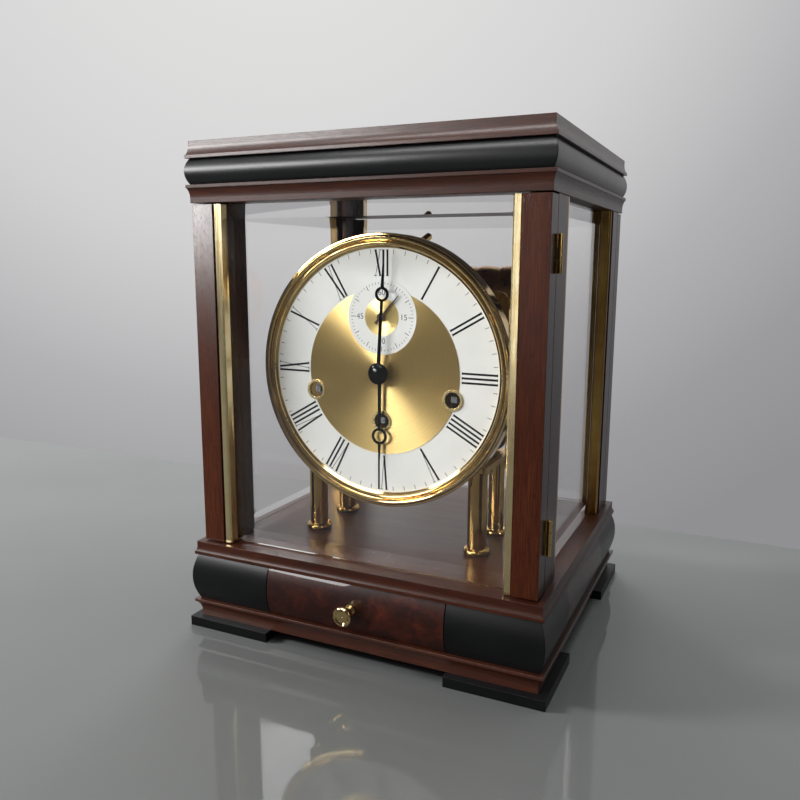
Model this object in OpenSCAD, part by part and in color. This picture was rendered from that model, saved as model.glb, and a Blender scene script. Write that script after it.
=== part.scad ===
// Chiming table clock: a glazed walnut case on a base with a drawer, a front-wound three-train
// movement on four brass pillars, and a row of nested bells behind the dial.
// The origin is on the standing surface, under the middle of the whole footprint, knob included.
// The front looks along -Y.

/* [Case body] */
// Width across the corner posts
body_w = 209; // [200:1:225]
// Depth from the front door's face to the rear door's face
body_d = 184.4; // [178:0.2:200]
// Height of the corner posts
post_h = 202; // [198:1:225]
// Width of a post and of a door stile
post_w = 14; // [12:0.5:16]
// Depth of a rear corner post
post_d = 14.5; // [12:0.5:17]
// Depth of a front corner post
front_post_d = 20; // [16:0.5:22]

/* [Base] */
// Height of the feet
foot_h = 5.8; // [4:0.2:9]
// Overhang of the feet past the body
foot_out = 7.8; // [6:0.2:12]
// Height of the moulded base board
base_board_h = 11.2; // [10:0.2:14]
// Height of the bulged band with the drawer
base_band_h = 29; // [24:1:36]
// Height of the moulded case floor
floor_h = 8; // [7:0.2:12]
// Overhang of the base board's outer fillet
base_fillet_out = 2.7; // [1:0.1:4]
// Overhang of the base board's lip
base_lip_out = 5.8; // [5:0.1:8]
// Overhang of the band at its upper and lower edges
base_edge_out = 3; // [2:0.1:4]
// Overhang of the band at its fullest
base_bulge_out = 6.4; // [5:0.1:9]
// Overhang of the floor's outer fillet
floor_fillet_out = 3.8; // [1:0.1:4.5]
// Overhang of the floor's lip
floor_lip_out = 5; // [4.6:0.1:8]
// Width of the opening for the drawer
drawer_opening_w = 113; // [104:1:124]
// Width of a side panel, between the corner blocks
side_panel_w = 92; // [70:1:110]
// Thickness of the corner blocks' walls
corner_wall = 22; // [16:1:28]
// Thickness of the side and rear panels
panel_t = 12; // [8:1:16]

/* [Top] */
// Height of the moulded board under the frieze
under_board_h = 10; // [9:0.2:13]
// Height of the bulged frieze
frieze_h = 14.5; // [11:0.5:20]
// Height of the moulded top board
top_board_h = 9.5; // [8:0.2:13]
// Overhang of the top mouldings' fillets
top_fillet_out = 0.6; // [0:0.1:1.5]
// Overhang of the top mouldings' lips
top_lip_out = 2.3; // [2:0.1:5]
// Overhang of the frieze at its edges
frieze_edge_out = 0.2; // [0:0.1:1]
// Overhang of the frieze at its fullest
frieze_bulge_out = 2.6; // [2:0.1:5]
// Thickness of the frieze's frame
frieze_wall = 20; // [14:1:30]

/* [Mouldings] */
// Height of a moulding's lip
lip_h = 1.8; // [1.2:0.1:2.5]
// Height of a moulding's outer fillet
fillet_h = 3; // [2:0.1:4]
// Step between the lip and the hollow
lip_step = 0.4; // [0.2:0.1:0.8]

/* [Glass and doors] */
// Thickness of a door
door_t = 12; // [11:0.5:14]
// Gap between a door and the posts
door_gap = 0.7; // [0.6:0.1:1]
// Gap above and below a door
door_clear = 0.8; // [0.4:0.1:1.5]
// Thickness of the panes
glass_t = 4; // [3:0.5:5]
// Width of the bevel round a pane
bevel_w = 8; // [6:0.5:12]
// Depth of that bevel
bevel_d = 1.6; // [1:0.1:2]
// Width of the brass strips
strip_w = 5; // [4:0.5:6]
// Depth of the brass strips
strip_d = 6; // [5:0.5:6.5]
// Setback of the strips from the face of the wood
strip_back = 0.6; // [0.3:0.1:1]
// Height of a hinge
hinge_h = 19; // [15:1:30]
// Distance from a post's end to the middle of a hinge
hinge_inset = 28.5; // [20:0.5:50]
// Radius of the hinge barrels
hinge_r = 1.3; // [1.2:0.1:2.5]
// Radius of the hinge pins
hinge_pin_r = 0.6; // [0.5:0.05:0.8]
// Width of a hinge leaf on the wood
leaf_w = 9; // [6:0.5:11]
// Thickness of a hinge leaf
leaf_t = 0.9; // [0.7:0.1:1.2]

/* [Drawer] */
// Thickness of the drawer front
drawer_front_t = 15; // [12:1:20]
// Depth of the drawer box
drawer_depth = 130; // [100:1:140]
// Thickness of the drawer's sides and back
drawer_wall = 6; // [4:0.5:8]
// Thickness of the drawer's bottom
drawer_bottom = 3; // [2:0.5:5]
// Gap round the drawer front
drawer_gap = 0.5; // [0.3:0.1:1]
// Gap between drawer box and guides
guide_gap = 0.3; // [0.2:0.1:0.6]
// Width of a drawer guide
guide_w = 9; // [5:1:14]
// Height of a drawer guide
guide_h = 9; // [6:1:14]
// Radius of the knob
knob_r = 5.6; // [4.5:0.1:7]
// Length of the knob
knob_l = 10.5; // [9:0.5:16]

/* [Dial] */
// Rise of the dial's centre above the middle of the posts
dial_rise = 5.5; // [3:0.5:11]
// Distance from the front of the body to the dial's face
dial_setback = 35.4; // [32:0.2:38]
// Outer radius of the bezel
bezel_r = 79; // [78.5:0.1:84]
// Radius of the white dial inside the bezel
dial_r = 70.9; // [68:0.1:72]
// Thickness of the dial plate
dial_t = 1; // [0.8:0.1:2]
// Depth of the bezel
bezel_d = 9; // [8:0.2:12]
// Radius of the brass centre disc
centre_disc_r = 47.8; // [46:0.1:50]
// Thickness of the centre disc
centre_disc_t = 0.3; // [0.2:0.05:0.5]
// Radius of the seconds dial
seconds_dial_r = 21.6; // [18:0.1:23]
// Thickness of the seconds dial
seconds_dial_t = 0.5; // [0.4:0.05:0.6]
// Height of the seconds arbor above the centre
seconds_up = 32; // [31:0.1:33]
// Sideways distance of the chime and strike arbors from the centre
side_arbor_x = 43.9; // [43:0.1:46]
// Drop of the chime and strike arbors below the centre
side_arbor_drop = 12.8; // [12:0.1:14]
// Drop of the time arbor below the centre
time_arbor_drop = 28.4; // [26.5:0.1:29.5]
// Outer radius of a winding eyelet
eyelet_r = 6; // [5.6:0.1:7]
// Inner radius of a winding eyelet
eyelet_bore_r = 4.6; // [4:0.1:4.8]

/* [Hands] */
// Length of the minute hand
minute_hand_l = 69.4; // [60:0.1:70]
// Distance of the minute hand's ring from the centre
minute_ring_at = 45.1; // [40:0.1:52]
// Outer radius of the minute hand's ring
minute_ring_r = 4.2; // [3:0.1:5]
// Length of the hour hand
hour_hand_l = 53.2; // [48:0.1:56]
// Distance of the hour hand's ring from the centre
hour_ring_at = 36.9; // [32:0.1:42]
// Outer radius of the hour hand's ring
hour_ring_r = 4.8; // [3.5:0.1:5.5]
// Radius of the cap at the hands' centre
hand_cap_r = 6.2; // [5:0.1:7]
// Thickness of the hands
hand_t = 0.6; // [0.4:0.05:0.7]
// Length of the seconds hand
second_hand_l = 16.4; // [12:0.1:17]
// Length of the seconds hand's tail
second_tail_l = 5; // [3:0.1:8]
// Angle that the minute hand shows, clockwise from twelve
minute_angle = 3.2; // [0:0.1:359]
// Angle that the hour hand shows
hour_angle = 180.3; // [0:0.1:359]
// Angle that the seconds hand shows
second_angle = 42; // [0:0.1:359]

/* [Movement frame] */
// Radius of the movement pillars
pillar_r = 5.75; // [4:0.25:7]
// Radius of the bead ring at a pillar's foot
pillar_ring_r = 8; // [7.2:0.25:9]
// Sideways distance of the pillars from the middle
pillar_x = 53.7; // [48:0.1:54]
// Thickness of the seat plate
seat_t = 3; // [2:0.5:4]
// Width of the seat plate
seat_w = 122; // [120:1:130]
// Distance from the dial's centre down to the seat plate's top
seat_drop = 52.5; // [51:0.5:54]
// Distance from the dial's face to the front plate
dial_to_plate = 15; // [14.5:0.1:16]
// Thickness of the movement plates
plate_t = 2; // [1.5:0.25:2.5]
// Width of the movement plates
plate_w = 116; // [112:1:120]
// Distance from the dial's centre up to the top of the plates
plate_up = 46; // [42:0.5:50]
// Distance between the plates
plate_gap = 38; // [37:0.5:42]
// Radius of the plate pillars
plate_pillar_r = 3.5; // [3:0.25:4]
// Radius of the thin arbors
arbor_r = 1; // [0.8:0.05:1.1]
// Radius of the winding arbors
winding_r = 2.5; // [2:0.1:2.8]
// Running clearance of an arbor in its hole
run_clear = 0.05; // [0.03:0.01:0.08]

/* [Trains] */
// Module of the barrel wheels
barrel_module = 0.5; // [0.48:0.005:0.52]
// Module of the intermediate wheel
inter_module = 0.5; // [0.48:0.005:0.52]
// Module of the centre wheel
centre_module = 0.42; // [0.41:0.005:0.43]
// Module of the third wheel
third_module = 0.36; // [0.355:0.005:0.375]
// Module of the minute wheel
minute_module = 0.5; // [0.48:0.005:0.52]
// Radius of a spring barrel
barrel_r = 16; // [14:0.25:16.5]
// Length of a spring barrel
barrel_l = 25; // [20:0.5:25]
// Radius of the ratchet wheels
ratchet_r = 8; // [6.5:0.1:9]
// Thickness of the train's wheels
wheel_t = 1.5; // [1:0.1:1.8]
// Radius of the balance wheel
balance_r = 9; // [7:0.25:11]

/* [Bells and hammers] */
// Radius of a bell's rim
bell_r = 25.5; // [24:0.1:26]
// Depth of a bell
bell_depth = 27; // [25:0.5:30]
// Wall of a bell
bell_wall = 1.2; // [1:0.1:1.6]
// Distance from one bell's rim to the next
bell_pitch = 15; // [14:0.5:16]
// Height of the bells' rod above the dial's centre
bell_up = 35; // [33:0.5:37]
// Distance of the bells' rod behind the back plate
bell_back = 45; // [44.5:0.5:47]
// Sideways place of the first bell's rim
bell_start_x = -20; // [-24:0.5:-18]
// Radius of the bells' rod
bell_rod_r = 3; // [2:0.25:4]
// Radius of the pin drum
drum_r = 6.6; // [5.5:0.1:7]
// Radius of a hammer head
hammer_r = 2.5; // [2:0.1:3]
// Length of the hour hammer's arm
hour_arm_l = 36; // [34:0.5:38]
// Angle that the hour hammer is raised
hour_raise = 18; // [10:0.5:20]

/* [Hidden] */
$fn = 72;

// Levels of the case, from the standing surface up
base_z = foot_h;
band_z = base_z + base_board_h;
floor_bottom_z = band_z + base_band_h;
floor_z = floor_bottom_z + floor_h;
post_top_z = floor_z + post_h;
frieze_z = post_top_z + under_board_h;
top_z = frieze_z + frieze_h;

// Plan of the case
half_w = body_w / 2;
half_d = body_d / 2;
post_front = half_d - door_t - door_gap;
post_inner_x = half_w - post_w;
post_inner_y = post_front - post_d;
front_inner_y = front_post_d - post_front;
corner_x = drawer_opening_w / 2;
corner_y = side_panel_w / 2;
side_glass_x = half_w - strip_back - strip_d;
groove_d = 2;
glass_clear = 0.2;

// Hinges: the axis stands clear of the wood, in the middle of the gap
hinge_x = half_w + hinge_r + 0.3;
hinge_y = -post_front - door_gap / 2;
leaf_proud = 0.2;
knuckle_h = hinge_h / 3;
low_hinge_up = 1.8;
hinge_middles = [floor_z + hinge_inset + low_hinge_up, post_top_z - hinge_inset];

// Drawer
drawer_half_w = corner_x - drawer_gap;
box_half_w = drawer_half_w - 2;
drawer_back_y = -half_d - base_edge_out + drawer_front_t;
drawer_mid_z = band_z + base_band_h / 2;
drawer_run = 0.3;
knob_shank_r = 1.8;
knob_neck_r = 0.42 * knob_r;
knob_edge_r = 1.2;

// Movement: dial centre, plates and arbors, as [x, z] seen from the front
dial_z = floor_z + post_h / 2 + dial_rise;
dial_y = -half_d + dial_setback;
front_plate_y = dial_y + dial_to_plate;
inside_y = front_plate_y + plate_t;
back_plate_y = inside_y + plate_gap;
behind_y = back_plate_y + plate_t;
seat_z = dial_z - seat_drop;
plate_top_z = dial_z + plate_up;
centre_at = [0, dial_z];
seconds_at = [0, dial_z + seconds_up];
time_at = [0, dial_z - time_arbor_drop];
chime_at = [side_arbor_x, dial_z - side_arbor_drop];
strike_at = [-side_arbor_x, dial_z - side_arbor_drop];
winding_at = [time_at, chime_at, strike_at];
seat_front = 6;
seat_back = 4;
seat_front_y = front_plate_y - seat_front;
seat_back_y = behind_y + seat_back;
pillar_rows = [front_plate_y + plate_t, back_plate_y];

// Tooth counts
barrel_n = 72;
inter_pinion_n = 12;
inter_wheel_n = 60;
centre_pinion_n = 15;
centre_wheel_n = 80;
third_pinion_n = 10;
third_wheel_n = 75;
seconds_pinion_n = 10;
cannon_n = 12;
minute_wheel_n = 36;
minute_pinion_n = 10;
hour_wheel_n = 40;
crown_n = 24;
drum_pinion_n = 12;

// Distances between meshing arbors
function centres(a, b, m) = (a + b) * m / 2;
barrel_d = centres(barrel_n, inter_pinion_n, barrel_module);
inter_d = centres(inter_wheel_n, centre_pinion_n, inter_module);
third_d = centres(centre_wheel_n, third_pinion_n, centre_module);
second_d = centres(third_wheel_n, seconds_pinion_n, third_module);
minute_d = centres(cannon_n, minute_wheel_n, minute_module);
hour_module = 2 * minute_d / (minute_pinion_n + hour_wheel_n);

// Point at distance ra from a and rb from b, on the given side of the line from a to b
function apex(a, b, ra, rb, side) =
  let (d = norm(b - a), u = (b - a) / d, p = (ra * ra - rb * rb + d * d) / (2 * d), h = sqrt(ra * ra - p * p))
  a + p * u + side * h * [u[1], -u[0]];
inter_at = apex(time_at, centre_at, barrel_d, inter_d, -1);
third_at = apex(centre_at, seconds_at, third_d, second_d, 1);
minute_dir = 35;
minute_at = centre_at + minute_d * [cos(minute_dir), sin(minute_dir)];
chime_dir = -100;
chime_arbor_at = chime_at + barrel_d * [cos(chime_dir), sin(chime_dir)];

// Angle of the line from one arbor to another, and the turn that puts a wheel in mesh with its driver
function angle_to(a, b) = atan2(b[1] - a[1], b[0] - a[0]);
function mesh_turn(turn_a, n_a, n_b, dir) = dir + 180 - (turn_a - dir) * n_a / n_b + 180 / n_b;
third_turn = mesh_turn(0, centre_wheel_n, third_pinion_n, angle_to(centre_at, third_at));
seconds_turn = mesh_turn(0, third_wheel_n, seconds_pinion_n, angle_to(third_at, seconds_at));
inter_turn = mesh_turn(0, centre_pinion_n, inter_wheel_n, angle_to(centre_at, inter_at));
time_turn = mesh_turn(0, inter_pinion_n, barrel_n, angle_to(inter_at, time_at));
minute_turn = mesh_turn(0, cannon_n, minute_wheel_n, minute_dir);
hour_turn = mesh_turn(0, minute_pinion_n, hour_wheel_n, minute_dir + 180);
chime_turn = mesh_turn(0, barrel_n, inter_pinion_n, chime_dir);

// Levels of the trains along Y, from the front plate back
centre_wheel_y = inside_y + 1.5;
third_wheel_y = inside_y + 6;
barrel_y = inside_y + 5;
barrel_wheel_y = barrel_y + barrel_l;
barrel_wheel_t = 2.5;
inter_wheel_y = barrel_wheel_y + barrel_wheel_t + 1.5;
ratchet_t = 2;
ratchet_y = front_plate_y - ratchet_t - 0.6;
cannon_y = front_plate_y - 3.2;
cannon_t = 2.4;
hour_wheel_t = 1.5;
motion_gap = 2.3;
hour_wheel_y = cannon_y - motion_gap - hour_wheel_t;
second_hand_y = dial_y - 1.5;
hour_hand_y = dial_y - 3;
minute_hand_y = dial_y - 5;
centre_arbor_r = 1.5;
cannon_r = 2;
pipe_r = 3.2;
minute_stud_r = 1.2;
winding_square = 3.4;
square_in = 1.5;

// Bells, drum and hammers behind the back plate
bell_count = 5;
bell_y = behind_y + bell_back;
bell_z = dial_z + bell_up;
bell_x = [for (i = [0 : bell_count - 1]) bell_start_x + i * bell_pitch];
bell_rod_end = bell_x[bell_count - 1] + bell_depth + 5;
crown_module = 0.6;
crown_r = crown_n * crown_module / 2;
crown_y = behind_y + 3;
crown_disc_t = 1.5;
crown_pitch_y = crown_y + crown_disc_t + 1.2 * crown_module;
drum_y = crown_pitch_y + drum_pinion_n * crown_module / 2;
drum_z = chime_arbor_at[1];
drum_pinion_x = chime_arbor_at[0] - crown_r;
drum_right = drum_pinion_x - 4.2;
hammer_count = 4;
hammer_pitch = 11;
drum_left = drum_right - hammer_count * hammer_pitch;
drum_pin_r = 0.5;
drum_pin_h = 1.4;
cheek_t = 2;
hammer_back = 13;
hammer_drop = 11.5;
hammer_pivot = [drum_y + hammer_back, drum_z - hammer_drop];
hammer_arbor_r = 1.5;
hammer_head_l = 9;
bell_gap = 0.4;
hammer_head_z = bell_z - 1;
hour_pivot = [behind_y + 8, bell_z + bell_r + 7];
hour_hammer_x = bell_start_x + 4;
hour_pin_r = 1.2;
ear_grip = 12;
hour_head_l = 10;

// The modules below are drawn about the middle of the case. The knob stands further out in front than
// the feet do behind, so the finished pieces move back by half the difference.
placed_y = (base_bulge_out + knob_l - foot_out) / 2;
module placed() {
  translate([0, placed_y, 0]) children();
}

// Extrudes a shape drawn in X and Z from y back through the thickness t
module facing(y, t) {
  translate([0, y + t, 0]) rotate([90, 0, 0]) linear_extrude(t) children();
}

// Round bar along Y at the arbor's place, from y0 back to y1
module bar_y(at, y0, y1, r) {
  translate([at[0], y1, at[1]]) rotate([90, 0, 0]) cylinder(h = y1 - y0, r = r);
}

// Round bar along X from x0 to x1, at [y, z]
module bar_x(at, x0, x1, r) {
  translate([x0, at[0], at[1]]) rotate([0, 90, 0]) cylinder(h = x1 - x0, r = r);
}

// Box between two corners
module block(a, b) {
  translate(a) cube(b - a);
}

// Toothed disc outline: straight-flanked teeth that take two fifths of the pitch
function tooth_points(n, m, turn) =
  [for (i = [0 : n - 1], k = [[-0.26, -1.2], [-0.1, 0.9], [0.1, 0.9], [0.26, -1.2]])
    (n * m / 2 + m * k[1]) * [cos(turn + 360 / n * (i + k[0])), sin(turn + 360 / n * (i + k[0]))]];
module toothed(at, y, t, n, m, turn = 0) {
  facing(y, t) translate(at) polygon(tooth_points(n, m, turn));
}

// Wheel with a rim, a hub and crossed-out spokes
module spoked(at, y, t, n, m, turn, spokes = 4) {
  rim_in = n * m / 2 - 3 * m - 0.6;
  hub = 3.2;
  facing(y, t) translate(at) difference() {
    polygon(tooth_points(n, m, turn));
    difference() {
      circle(r = rim_in);
      circle(r = hub);
      for (i = [0 : spokes - 1]) rotate(turn + i * 360 / spokes) translate([0, -0.9]) square([rim_in, 1.8]);
    }
  }
}

// Rectangle with round corners
module rounded(a, b, r) {
  translate(a + [r, 0]) square(b - a - [2 * r, 0]);
  translate(a + [0, r]) square(b - a - [0, 2 * r]);
  for (x = [a[0] + r, b[0] - r], z = [a[1] + r, b[1] - r]) translate([x, z]) circle(r = r);
}

// Section of a moulded board: lip at the bottom, hollow above it, plain fillet at the top
module moulding_section(half, h, fillet_out, lip_out) {
  run = lip_out - lip_step - fillet_out;
  rise = h - lip_h - fillet_h;
  hollow_r = (run * run + rise * rise) / (2 * run);
  translate([-half - lip_out, 0]) square([2 * (half + lip_out), lip_h]);
  translate([-half - fillet_out, 0]) square([2 * (half + fillet_out), h]);
  for (side = [0, 1]) mirror([side, 0]) difference() {
    translate([half, 0]) square([fillet_out + run, lip_h + rise]);
    translate([half + fillet_out + hollow_r, lip_h + rise]) circle(r = hollow_r, $fn = 160);
  }
}

// Section of a bulged band: straight edges joined by one arc
module bulge_section(half, h, edge_out, bulge_out) {
  swell = bulge_out - edge_out;
  r = (h * h / 4 + swell * swell) / (2 * swell);
  translate([-half - edge_out, 0]) square([2 * (half + edge_out), h]);
  for (side = [0, 1]) mirror([side, 0]) intersection() {
    translate([half, 0]) square([bulge_out + 1, h]);
    translate([half + bulge_out - r, h / 2]) circle(r = r, $fn = 160);
  }
}

// Mitred solid: the same section run along both sides of the plan
module mitred(z) {
  span = 2 * max(body_w, body_d);
  translate([0, 0, z]) intersection() {
    rotate([90, 0, 0]) linear_extrude(span, center = true) children(0);
    rotate([90, 0, 90]) linear_extrude(span, center = true) children(1);
  }
}
module moulded_board(z, h, fillet_out, lip_out) {
  mitred(z) {
    moulding_section(half_w, h, fillet_out, lip_out);
    moulding_section(half_d, h, fillet_out, lip_out);
  }
}
module bulged_block(z, h, edge_out, bulge_out) {
  mitred(z) {
    bulge_section(half_w, h, edge_out, bulge_out);
    bulge_section(half_d, h, edge_out, bulge_out);
  }
}
module base_band() {
  bulged_block(band_z, base_band_h, base_edge_out, base_bulge_out);
}

// Repeats at the four corners of the plan
module corners() {
  for (sx = [0, 1], sy = [0, 1]) mirror([sx, 0, 0]) mirror([0, sy, 0]) children();
}

module feet() {
  color("#17191b") corners()
    block([corner_x, corner_y, 0], [half_w + foot_out, half_d + foot_out, foot_h]);
}
module base_board() {
  color("#54301f") translate([0, 0, base_z + band_z]) mirror([0, 0, 1])
    moulded_board(base_z, base_board_h, base_fillet_out, base_lip_out);
}
module base_corner_blocks() {
  reach = base_bulge_out + 1;
  color("#1c1f22") intersection() {
    base_band();
    corners() difference() {
      block([corner_x, corner_y, band_z], [half_w + reach, half_d + reach, floor_bottom_z]);
      block([corner_x - 1, corner_y - 1, band_z - 1],
        [half_w + base_edge_out - corner_wall, half_d + base_edge_out - corner_wall, floor_bottom_z + 1]);
    }
  }
}
module base_panels() {
  reach = base_bulge_out + 1;
  color("#4a1c12") intersection() {
    base_band();
    union() {
      for (side = [0, 1]) mirror([side, 0, 0])
        block([half_w + base_edge_out - panel_t, -corner_y, band_z],
          [half_w + reach, corner_y, floor_bottom_z]);
      block([-corner_x, half_d + base_edge_out - panel_t, band_z],
        [corner_x, half_d + reach, floor_bottom_z]);
    }
  }
}
module drawer_guides() {
  color("#8a6a48") for (side = [0, 1]) mirror([side, 0, 0])
    block([box_half_w + guide_gap, -corner_y, band_z],
      [box_half_w + guide_gap + guide_w, corner_y, band_z + guide_h]);
}
module case_floor() {
  color("#5a3322") moulded_board(floor_bottom_z, floor_h, floor_fillet_out, floor_lip_out);
}
module corner_posts() {
  color("#5a3322") difference() {
    for (side = [0, 1]) mirror([side, 0, 0]) {
      block([post_inner_x, post_inner_y, floor_z], [half_w, post_front, post_top_z]);
      block([post_inner_x, -post_front, floor_z], [half_w, front_inner_y, post_top_z]);
    }
    for (side = [0, 1]) mirror([side, 0, 0])
      block([side_glass_x - glass_t - glass_clear, front_inner_y - groove_d, floor_z - 1],
        [side_glass_x, post_inner_y + groove_d, post_top_z + 1]);
    for (turn = [0, 180]) rotate([0, 0, turn]) leaf_beds(1);
  }
}

// Pane of the given width and height standing in X and Z, bevelled round its inner face
module pane(w, h) {
  intersection() {
    linear_extrude(h) pane_section(w);
    translate([-w / 2, 0, h / 2]) rotate([90, 0, 90]) linear_extrude(w) mirror([1, -1]) pane_section(h);
  }
}
module pane_section(w) {
  translate([-w / 2, 0]) square([w, glass_t - bevel_d]);
  polygon([[-w / 2, glass_t - bevel_d - 0.01], [w / 2, glass_t - bevel_d - 0.01], [w / 2, glass_t - bevel_d],
    [w / 2 - bevel_w, glass_t], [bevel_w - w / 2, glass_t], [-w / 2, glass_t - bevel_d]]);
}
module side_glass() {
  color("#d8e4e2", 0.35) for (side = [0, 1]) mirror([side, 0, 0])
    translate([side_glass_x, (post_inner_y + front_inner_y) / 2, floor_z]) rotate([0, 0, 90])
      pane(post_inner_y - front_inner_y + 2 * (groove_d - glass_clear), post_h - door_clear);
}

// Flat strip section with its two front edges chamfered: back on X, face towards -Y
strip_chamfer = 0.9;
module strip_section() {
  polygon([[strip_chamfer, 0], [strip_w - strip_chamfer, 0], [strip_w, strip_chamfer], [strip_w, strip_d],
    [0, strip_d], [0, strip_chamfer]]);
}
module side_strips() {
  color("#c9a24a") for (side = [0, 1], low_y = [front_inner_y, post_inner_y - strip_w]) mirror([side, 0, 0])
    translate([side_glass_x + strip_d, low_y, floor_z]) rotate([0, 0, 90])
      linear_extrude(post_h) strip_section();
}
module under_board() {
  color("#5a3322") translate([0, 0, post_top_z + frieze_z]) mirror([0, 0, 1])
    moulded_board(post_top_z, under_board_h, top_fillet_out, top_lip_out);
}
module frieze() {
  inner = [half_w - frieze_wall, half_d - frieze_wall];
  color("#1c1f22") difference() {
    bulged_block(frieze_z, frieze_h, frieze_edge_out, frieze_bulge_out);
    block([-inner[0], -inner[1], frieze_z - 1], [inner[0], inner[1], top_z + 1]);
  }
}
module top_board() {
  color("#5a3322") moulded_board(top_z, top_board_h, top_fillet_out, top_lip_out);
}

// Front hinges, at the right. The rear ones are the same, turned half round.
// A leaf on the post's face is cut round the door's barrel, and the other way about.
module leaf(inward, own_knuckles, bore) {
  face_y = hinge_y - inward * (door_gap / 2 - leaf_proud);
  for (mid = hinge_middles) difference() {
    union() {
      block([half_w - leaf_w, min(face_y, face_y - inward * leaf_t), mid - hinge_h / 2],
        [hinge_x, max(face_y, face_y - inward * leaf_t), mid + hinge_h / 2]);
      for (k = own_knuckles) translate([hinge_x, hinge_y, mid + (k - 0.5) * knuckle_h + 0.1])
        cylinder(h = knuckle_h - 0.2, r = hinge_r);
    }
    for (k = [-1 : 1]) if (!search(k, own_knuckles))
      translate([hinge_x, hinge_y, mid + (k - 0.5) * knuckle_h - 0.1])
        cylinder(h = knuckle_h + 0.2, r = hinge_r + 0.3);
    translate([hinge_x, hinge_y, mid - hinge_h]) cylinder(h = 2 * hinge_h, r = bore);
  }
}

// Beds cut in the wood for the leaves: side is 1 for the posts and -1 for the door
module leaf_beds(side) {
  bed_d = leaf_t - leaf_proud;
  for (mid = hinge_middles)
    block([half_w - leaf_w, side > 0 ? -post_front - 1 : -half_d + door_t - bed_d, mid - hinge_h / 2],
      [half_w + 1, side > 0 ? -post_front + bed_d : -half_d + door_t + 1, mid + hinge_h / 2]);
}
module case_hinges() {
  color("#c9a24a") for (turn = [0, 180]) rotate([0, 0, turn]) {
    leaf(-1, [-1, 1], hinge_pin_r);
    for (mid = hinge_middles) translate([hinge_x, hinge_y, mid - hinge_h / 2])
      cylinder(h = hinge_h, r = hinge_pin_r);
  }
}
module door_leaves() {
  leaf(1, [0], hinge_pin_r + run_clear);
}
module door_stiles() {
  difference() {
    for (side = [0, 1]) mirror([side, 0, 0]) block([post_inner_x, -half_d, floor_z + door_clear],
      [half_w, -half_d + door_t, post_top_z - door_clear]);
    leaf_beds(-1);
  }
}
module door_strips() {
  for (side = [0, 1]) mirror([side, 0, 0])
    translate([post_inner_x - strip_w, -half_d + strip_back, floor_z + door_clear])
      linear_extrude(post_h - 2 * door_clear) strip_section();
}
module door_glass() {
  translate([0, -half_d + strip_back + strip_d, floor_z + door_clear])
    pane(2 * post_inner_x, post_h - 2 * door_clear);
}
module front_door_stiles() { color("#5a3322") door_stiles(); }
module front_door_glass() { color("#d8e4e2", 0.35) door_glass(); }
module front_door_strips() { color("#c9a24a") door_strips(); }
module front_door_leaves() { color("#c9a24a") door_leaves(); }
module rear_door_stiles() { color("#5a3322") rotate([0, 0, 180]) door_stiles(); }
module rear_door_glass() { color("#d8e4e2", 0.35) rotate([0, 0, 180]) door_glass(); }
module rear_door_strips() { color("#c9a24a") rotate([0, 0, 180]) door_strips(); }
module rear_door_leaves() { color("#c9a24a") rotate([0, 0, 180]) door_leaves(); }

module drawer_front() {
  color("#4a1c12") difference() {
    intersection() {
      base_band();
      block([-drawer_half_w, -half_d - base_bulge_out - 1, band_z + drawer_gap],
        [drawer_half_w, drawer_back_y, floor_bottom_z - drawer_gap]);
    }
    knob_bore();
  }
}
module knob_bore() {
  bar_y([0, drawer_mid_z], -half_d - base_bulge_out - 1, drawer_back_y + 1, knob_shank_r);
}
module drawer_box() {
  top = floor_bottom_z - 2 * drawer_gap - 1;
  color("#a98a62") difference() {
    block([-box_half_w, drawer_back_y, band_z + drawer_run], [box_half_w, drawer_back_y + drawer_depth, top]);
    block([drawer_wall - box_half_w, drawer_back_y + drawer_wall, band_z + drawer_run + drawer_bottom],
      [box_half_w - drawer_wall, drawer_back_y + drawer_depth - drawer_wall, top + 1]);
  }
}

// Knob turned about Y: collar, waist, wide head with a dished end, and a shank through the drawer front
module drawer_knob() {
  face_y = -half_d - base_bulge_out;
  waist = 0.24 * knob_l;
  flare = knob_l - knob_edge_r - waist;
  edge = [knob_r - knob_edge_r, knob_l - knob_edge_r];
  shank_end = face_y - drawer_back_y;
  swell = (knob_r - knob_neck_r) / 2;
  color("#d4af55") translate([0, face_y, drawer_mid_z]) rotate([90, 0, 0]) rotate_extrude() polygon(concat(
    [[0, shank_end], [knob_shank_r, shank_end], [knob_shank_r, 0], [0.6 * knob_r, 0], [0.6 * knob_r, 0.8]],
    [for (t = [0 : 0.1 : 1]) [knob_neck_r + swell * (1 - cos(180 * t)), waist + flare * t]],
    [for (a = [20 : 20 : 90]) edge + knob_edge_r * [cos(a), sin(a)]],
    [[edge[0], knob_l], [0.58 * knob_r, knob_l - 0.8], [0, knob_l - 1]]));
}

// Turned pillar: bead ring at the foot, plain shaft, collar under the seat plate
module movement_pillars() {
  h = seat_z - seat_t - floor_z;
  bead = 2;
  color("#d4af55") for (x = [-pillar_x, pillar_x], y = pillar_rows)
    translate([x, y, floor_z]) rotate_extrude() {
      square([pillar_r, h]);
      square([pillar_ring_r - bead, 2 * bead]);
      translate([pillar_ring_r - bead, bead]) circle(r = bead);
      translate([0, h - bead]) square([pillar_r + 1, bead]);
    }
}
module seat_plate() {
  color("#c9a24a") translate([0, 0, seat_z - seat_t]) linear_extrude(seat_t)
    rounded([-seat_w / 2, seat_front_y], [seat_w / 2, seat_back_y], 4);
}

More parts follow.
